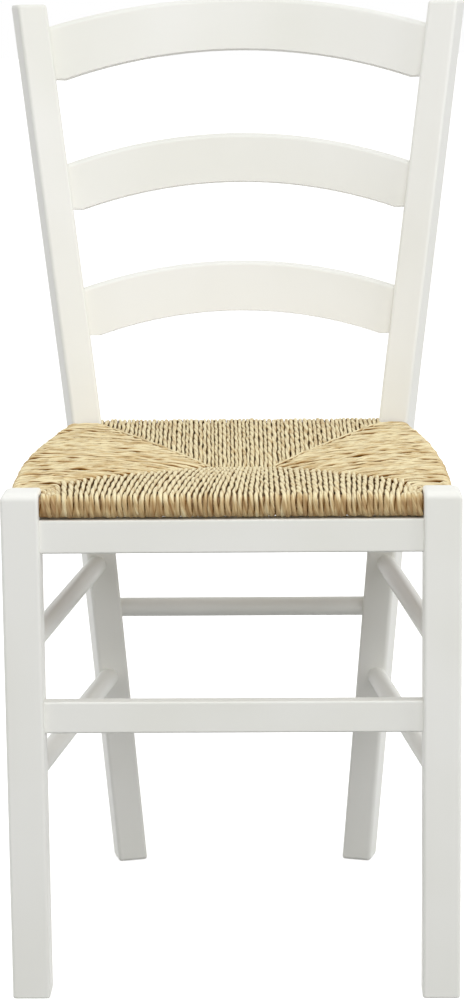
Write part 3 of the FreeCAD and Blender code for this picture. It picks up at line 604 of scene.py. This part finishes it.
def lay_cord(panel_mesh, points, outward, width, thickness, uneven, paler_tone_and_light, chance, sizes):
    """Lay one cord of two twisted leaves along a route: a closed tube whose section turns as it goes.

    Its first point faces outwards from the seat in the direction given. Each vertex keeps its place on
    the cord's skin, for the fibres, and three values for tone and painted shade: the cord's tone, with the
    panels' painted light and the painted shade on a rail's face and underneath, how deep it lies in the
    groove between the two leaves, and how far it faces outwards; these last two mask the painted shade in
    the grooves and gaps.
    """
    bm = bmesh.new()
    cord_layer = bm.verts.layers.float_vector.new("cord")
    tone_and_shade_layer = bm.verts.layers.float_vector.new("tone_and_shade_masks")
    rings = len(points)
    # The tube starts as an upright cylinder, 1 high about the origin, cut into a ring for each point.
    bmesh.ops.create_cone(
        bm, cap_ends=True, segments=RING_SIDES, radius1=1.0, radius2=1.0, depth=1.0)
    long_edges = [edge for edge in bm.edges if abs(edge.verts[0].co.z - edge.verts[1].co.z) > 0.5]
    bmesh.ops.subdivide_edges(bm, edges=long_edges, cuts=rings - 2, use_grid_fill=True)
    # The tone starts from the paler share given; for whole panels that share is painted light
    tone = paler_tone_and_light + chance.random()
    phase = chance.uniform(0, 2 * math.pi)
    lay = sizes.lay * chance.uniform(*LAY_RANGE)
    start = chance.uniform(0, FIBRE_START)
    raised = uneven * chance.uniform(-1, 1)
    frames = []
    gone = 0.0
    across = outward.cross(points[1] - points[0])
    for index, point in enumerate(points):
        before = points[max(index - 1, 0)]
        after = points[min(index + 1, rings - 1)]
        gone += (point - before).length
        forward = (after - before).normalized()
        across = (across - forward * across.dot(forward)).normalized()
        outward = forward.cross(across)
        swell = 1 + SWELL * noise.noise(Vector((start, 0, gone / SWELL_LENGTH)))
        sway = SWAY * noise.noise(Vector((0, start, gone / SWAY_LENGTH)))
        flat = max(outward.z, 0)
        lift = (RISE + uneven * flat) * noise.noise(Vector((start, start, gone / RISE_LENGTH)))
        lift += raised * flat
        upright = 1 - flat
        size = thickness / 2 * swell * (END_TAPER if index in (0, rings - 1) else 1.0)
        middle = point + across * sway + outward * lift
        turned = phase - 2 * math.pi * gone / lay
        pressed = width / thickness * (1 + FACE_PRESS * upright + LOW_PRESS * max(-outward.z, 0))
        # On a rail's face and underneath the tone is lowered: partly the rush's browner colour, partly
        # painted shade
        frames.append((middle, across, outward, size, turned, gone, tone - FACE_BROWN_AND_SHADE * upright, pressed))
    for vert in bm.verts:
        ring = round((vert.co.z + 0.5) * (rings - 1))
        middle, across, outward, size, turned, gone, shown, pressed = frames[ring]
        angle = math.atan2(vert.co.y, vert.co.x)
        groove = math.sin(angle) ** GROOVE_POWER
        reach = size * (1 - GROOVE_DEPTH * groove)
        facing = math.sin(angle + turned)
        vert[cord_layer] = Vector((math.cos(angle) * size, math.sin(angle) * size, gone + start))
        # The groove and how far the skin faces outwards are the masks of the painted shade in the grooves and
        # gaps
        vert[tone_and_shade_layer] = Vector((shown, groove, facing))
        vert.co = middle + (across * math.cos(angle + turned) * pressed + outward * facing) * reach
    # Known fault: the faces still hold their old normals here, so about half of the cords end up with
    # their faces pointing inwards. An update of the normals before this call puts it right.
    bmesh.ops.recalc_face_normals(bm, faces=bm.faces)
    for face in bm.faces:
        face.smooth = True
    laid = bpy.data.meshes.new("cord")
    bm.to_mesh(laid)
    bm.free()
    panel_mesh.from_mesh(laid)
    bpy.data.meshes.remove(laid)


def side_by_side(low, high, mean, chance):
    """Middles and widths of cords that lie side by side between two places, no two quite alike."""
    widths = [chance.uniform(*WIDTH_RANGE) for _ in range(round((high - low) / mean))]
    scale = (high - low) / sum(widths)
    cords = []
    for width in widths:
        cords.append((low + width * scale / 2, width * scale))
        low += width * scale
    return cords


def panel_cords(panel, chance, sizes):
    """Each cord of a panel as its place on the rail's outer edge, its end in plan and its width."""
    cords = []
    if panel in SIDES:
        side = SIDES[panel]
        for y, width in side_by_side(SIDE_START, POST_FRONT, sizes.cord, chance):
            seam = seam_end(side, sizes)
            front = y < seam.y
            start = hip_start(side, front)
            first_y = SIDE_START if front else POST_FRONT
            end = start + (seam - start) * (y - first_y) / (seam.y - first_y)
            cords.append((Vector((side_edge(panel, y), y)), end, width))
        return cords
    front = panel == "front"
    reach = FRONT_START if front else POST_INNER
    edge_y = RUSH_LOW.y if front else RUSH_HIGH.y
    seam_rail = sizes.seam / 2 + (sizes.fan if front else REAR_FAN)
    for x, width in side_by_side(-reach, reach, sizes.front_cord if front else sizes.cord, chance):
        side = 1 if x > 0 else -1
        if abs(x) > seam_rail:
            start = hip_start(side, front)
            end = start + (seam_end(side, sizes) - start) * (reach - abs(x)) / (reach - seam_rail)
        else:
            share = (x / seam_rail + 1) / 2
            end = seam_end(-1, sizes).lerp(seam_end(1, sizes), share)
            width *= (1 + sizes.seam / 2 / seam_rail) / 2
        cords.append((Vector((x, edge_y)), end, width))
    return cords


class CHAIR_OT_lacquer_frame(bpy.types.Operator):
    """Finish legs, posts, slats, apron and stretchers in white satin lacquer"""

    bl_idname = "chair.lacquer_frame"
    bl_label = "Lacquer the frame"

    def execute(self, context):
        colours = context.scene.chair_colours
        uprights = [kind + side for kind in ("front_leg_", "rear_post_") for side in SIDES]
        across = ["top_slat", "middle_slat", "lower_slat", "front_apron", "front_stretcher", "rear_stretcher"]
        lengthways = [
            level + "_side_stretcher_" + side for level in ("upper", "lower") for side in SIDES]
        finish_nodes(uprights, lacquered_beech("white_lacquered_beech_upright", "z", colours))
        finish_nodes(across, lacquered_beech("white_lacquered_beech_across", "x", colours))
        finish_nodes(lengthways, lacquered_beech("white_lacquered_beech_lengthways", "y", colours))
        return {"FINISHED"}


class CHAIR_OT_seat_rails(bpy.types.Operator):
    """Finish the four hidden seat rails as bare beech"""

    bl_idname = "chair.seat_rails"
    bl_label = "Bare seat rails"

    def execute(self, context):
        names = ["front_seat_rail", "rear_seat_rail"] + ["side_seat_rail_" + side for side in SIDES]
        finish_nodes(names, bare_beech(context.scene.chair_colours))
        return {"FINISHED"}


class CHAIR_OT_small_metal(bpy.types.Operator):
    """Finish the slat pins and the tacks as drawn steel"""

    bl_idname = "chair.small_metal"
    bl_label = "Pins and tacks"

    def execute(self, context):
        finish_nodes(["slat_pins", "rush_tacks"], drawn_steel(context.scene.chair_colours))
        return {"FINISHED"}


class CHAIR_OT_stuffing(bpy.types.Operator):
    """Make the four pads of straw between the two layers of rush"""

    bl_idname = "chair.stuffing"
    bl_label = "Straw stuffing"

    def execute(self, context):
        straw = loose_straw(context.scene.chair_colours)
        for name in ("stuffing_front", "stuffing_rear", "stuffing_left", "stuffing_right"):
            bm = bmesh.new()
            bm.from_mesh(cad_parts[name].data)
            bmesh.ops.remove_doubles(bm, verts=bm.verts, dist=PAD_MERGE)
            bmesh.ops.dissolve_limit(
                bm, angle_limit=math.radians(1), verts=bm.verts, edges=bm.edges)
            for _ in range(PAD_ROUNDS):
                bmesh.ops.triangulate(bm, faces=[face for face in bm.faces if len(face.verts) > 4])
                long_edges = [edge for edge in bm.edges if edge.calc_length() > PAD_EDGE]
                bmesh.ops.subdivide_edges(bm, edges=long_edges, cuts=1, use_grid_fill=True)
            bmesh.ops.smooth_vert(
                bm, verts=bm.verts, factor=0.5, use_axis_x=True, use_axis_y=True, use_axis_z=True)
            bm.normal_update()
            for vert in bm.verts:
                lump = noise.noise(vert.co / PAD_LUMP)
                vert.co -= vert.normal * (PAD_SINK + PAD_SINK * lump)
            for face in bm.faces:
                face.smooth = True
            pad = keep_piece("straw_" + name, bm, straw)
            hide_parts(name)
        return {"FINISHED"}


class CHAIR_OT_rush_seat(bpy.types.Operator):
    """Weave the seat's four panels from twisted rush cord"""

    bl_idname = "chair.rush_seat"
    bl_label = "Rush seat"

    def execute(self, context):
        sizes = context.scene.chair_sizes
        rush = twisted_rush(context.scene.chair_colours)
        for number, panel in enumerate(("front", "rear", "left", "right")):
            chance = random.Random(number)
            bm = bmesh.new()
            for edge, end, width in panel_cords(panel, chance, sizes):
                at_front_hip = panel in SIDES and edge.y < FRONT_Y + sizes.seam_set_back
                points = cord_route(edge, end, panel, panel == "rear" or at_front_hip, sizes)
                lay_cord(
                    bm, points, SEAT_UP, width, sizes.cord, UNEVEN[panel], PANEL_PAINTED_LIGHT[panel], chance, sizes)
            if panel in SIDES:
                for corner in range(CORNER_CORDS):
                    points = corner_route(panel, corner, sizes)
                    lay_cord(
                        bm, points, -SEAT_UP, CORNER_WIDTH, sizes.cord, LOOSE_UNEVEN, LOOSE_PALER,
                        chance, sizes)
                points = hip_route(panel, sizes)
                lay_cord(
                    bm, points, SEAT_UP, HIP_LEAF, HIP_LEAF, LOOSE_UNEVEN, LOOSE_PALER, chance, sizes)
            piece = keep_piece("rush_" + panel, bm, rush)
            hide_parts("rush_weave")
        return {"FINISHED"}


class CHAIR_OT_stage(bpy.types.Operator):
    """Set up the pale floor, the soft studio light and the photograph's camera"""

    bl_idname = "chair.stage"
    bl_label = "Studio stage"

    def execute(self, context):
        scene = context.scene
        sizes = scene.chair_sizes
        make_floor(scene.chair_colours)
        make_world(scene, sizes.surround)
        # Lamps as name, place, target, size and power.
        lamps = (
            ("upper_front_key", (0.3, -1.8, 2.4), (0, 0, 0.5), 1.8, sizes.key_light),
            ("right_fill", (2.6, -0.9, 1.2), (0, 0, 0.5), 1.8, sizes.right_light),
            ("left_fill", (-2.6, -0.9, 1.2), (0, 0, 0.5), 1.8, sizes.left_light),
            ("low_front_fill", (0, -2.6, 0.35), (0, 0, 0.3), 1.6, sizes.front_light),
            ("back_rim", (0, 2.6, 1.8), (0, 0, 0.6), 2.2, sizes.back_light),
        )
        for name, place, target, size, power in lamps:
            lamp = bpy.data.lights.new(name, "AREA")
            lamp.size = size
            lamp.energy = power
            holder = bpy.data.objects.new(name, lamp)
            scene.collection.objects.link(holder)
            holder.location = place
            aim = Vector(target) - Vector(place)
            holder.rotation_euler = aim.to_track_quat("-Z", "Y").to_euler()
        make_camera(scene, sizes.lens)
        scene.view_settings.view_transform = "Standard"
        return {"FINISHED"}


def seen_white(tree):
    """1 for the camera's rays and for those of gloss and glass, which all show the white background."""
    path = add_node(tree, "ShaderNodeLightPath")
    gloss = add_node(tree, "ShaderNodeMath", {
        0: path.outputs["Is Camera Ray"], 1: path.outputs["Is Glossy Ray"]}, operation="MAXIMUM")
    glass = add_node(tree, "ShaderNodeMath", {
        0: gloss.outputs[0], 1: path.outputs["Is Transmission Ray"]}, operation="MAXIMUM")
    return glass.outputs[0]


def make_floor(colours):
    """A wide pale floor, lifted to white for the eye, which keeps the chair's soft shadow."""
    bm = bmesh.new()
    bmesh.ops.create_grid(bm, x_segments=1, y_segments=1, size=FLOOR_REACH)
    mesh = bpy.data.meshes.new("studio_floor")
    bm.to_mesh(mesh)
    bm.free()
    floor = bpy.data.objects.new("studio_floor", mesh)
    bpy.context.scene.collection.objects.link(floor)
    material, tree, output = new_material("pale_studio_floor")
    matt = add_node(tree, "ShaderNodeBsdfDiffuse", {"Color": colours.floor})
    dim = add_node(tree, "ShaderNodeBsdfDiffuse", {"Color": grey(FLOOR_BOUNCE)})
    glow = add_node(tree, "ShaderNodeEmission", {"Color": grey(1.0), "Strength": FLOOR_LIFT})
    lifted = add_node(tree, "ShaderNodeAddShader", {0: matt.outputs[0], 1: glow.outputs[0]})
    shown = add_node(tree, "ShaderNodeMixShader", {
        0: seen_white(tree), 1: dim.outputs[0], 2: lifted.outputs[0]})
    tree.links.new(shown.outputs[0], output.inputs[0])
    mesh.materials.append(material)


def make_world(scene, strength):
    """An even, dim surround for the light, shown to the eye as white."""
    world = bpy.data.worlds.new("white_surround")
    scene.world = world
    world.use_nodes = True
    tree = world.node_tree
    tree.nodes.clear()
    output = add_node(tree, "ShaderNodeOutputWorld")
    around = add_node(tree, "ShaderNodeBackground", {"Color": grey(1.0), "Strength": strength})
    white = add_node(tree, "ShaderNodeBackground", {"Color": grey(1.0), "Strength": 1.0})
    mixed = add_node(tree, "ShaderNodeMixShader", {
        0: seen_white(tree), 1: around.outputs[0], 2: white.outputs[0]})
    tree.links.new(mixed.outputs[0], output.inputs[0])


# The photograph's camera: its sensor's width in mm, for which its focal length is given, its place, and
# its turn, tip and roll in radians
SENSOR_WIDTH = 36
CAMERA_X = 58.58 * MM
CAMERA_SET_BACK = -2198.9 * MM
CAMERA_HEIGHT = 851.9 * MM
CAMERA_TURN = -0.02612
CAMERA_TIP = 0.18133
CAMERA_ROLL = -0.01095


def make_camera(scene, lens):
    """A camera that looks at the chair from the photograph's place."""
    camera = bpy.data.cameras.new("photo_view")
    camera.lens = lens
    camera.sensor_width = SENSOR_WIDTH
    holder = bpy.data.objects.new("photo_view", camera)
    scene.collection.objects.link(holder)
    forward = Vector((
        math.sin(CAMERA_TURN) * math.cos(CAMERA_TIP),
        math.cos(CAMERA_TURN) * math.cos(CAMERA_TIP),
        -math.sin(CAMERA_TIP)))
    level = Vector((math.cos(CAMERA_TURN), -math.sin(CAMERA_TURN), 0))
    upright = level.cross(forward)
    right = level * math.cos(CAMERA_ROLL) + upright * math.sin(CAMERA_ROLL)
    up = upright * math.cos(CAMERA_ROLL) - level * math.sin(CAMERA_ROLL)
    turn = Matrix((right, up, -forward)).transposed()
    place = Vector((CAMERA_X, FRONT_Y + CAMERA_SET_BACK, CAMERA_HEIGHT))
    holder.matrix_world = Matrix.Translation(place) @ turn.to_4x4()
    scene.camera = holder


STEPS = (
    CHAIR_OT_lacquer_frame, CHAIR_OT_seat_rails, CHAIR_OT_small_metal, CHAIR_OT_stuffing,
    CHAIR_OT_rush_seat, CHAIR_OT_stage)


class CHAIR_PT_steps(bpy.types.Panel):
    """The steps that dress the chair, with its sizes and colours"""

    bl_idname = "CHAIR_PT_steps"
    bl_label = "Rush chair"
    bl_space_type = "VIEW_3D"
    bl_region_type = "UI"
    bl_category = "Chair"

    def draw(self, context):
        for step in STEPS:
            self.layout.operator(step.bl_idname)
        for group in (context.scene.chair_sizes, context.scene.chair_colours):
            for name in group.__annotations__:
                self.layout.prop(group, name)


CLASSES = (ChairSizes, ChairColours) + STEPS + (CHAIR_PT_steps,)


def register():
    for kind in CLASSES:
        bpy.utils.register_class(kind)
    bpy.types.Scene.chair_sizes = PointerProperty(type=ChairSizes)
    bpy.types.Scene.chair_colours = PointerProperty(type=ChairColours)


def unregister():
    del bpy.types.Scene.chair_colours
    del bpy.types.Scene.chair_sizes
    for kind in reversed(CLASSES):
        bpy.utils.unregister_class(kind)


def main():
    """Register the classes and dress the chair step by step."""
    register()
    bpy.ops.chair.lacquer_frame()
    bpy.ops.chair.seat_rails()
    bpy.ops.chair.small_metal()
    bpy.ops.chair.stuffing()
    bpy.ops.chair.rush_seat()
    bpy.ops.chair.stage()


if __name__ == "__main__":
    main()
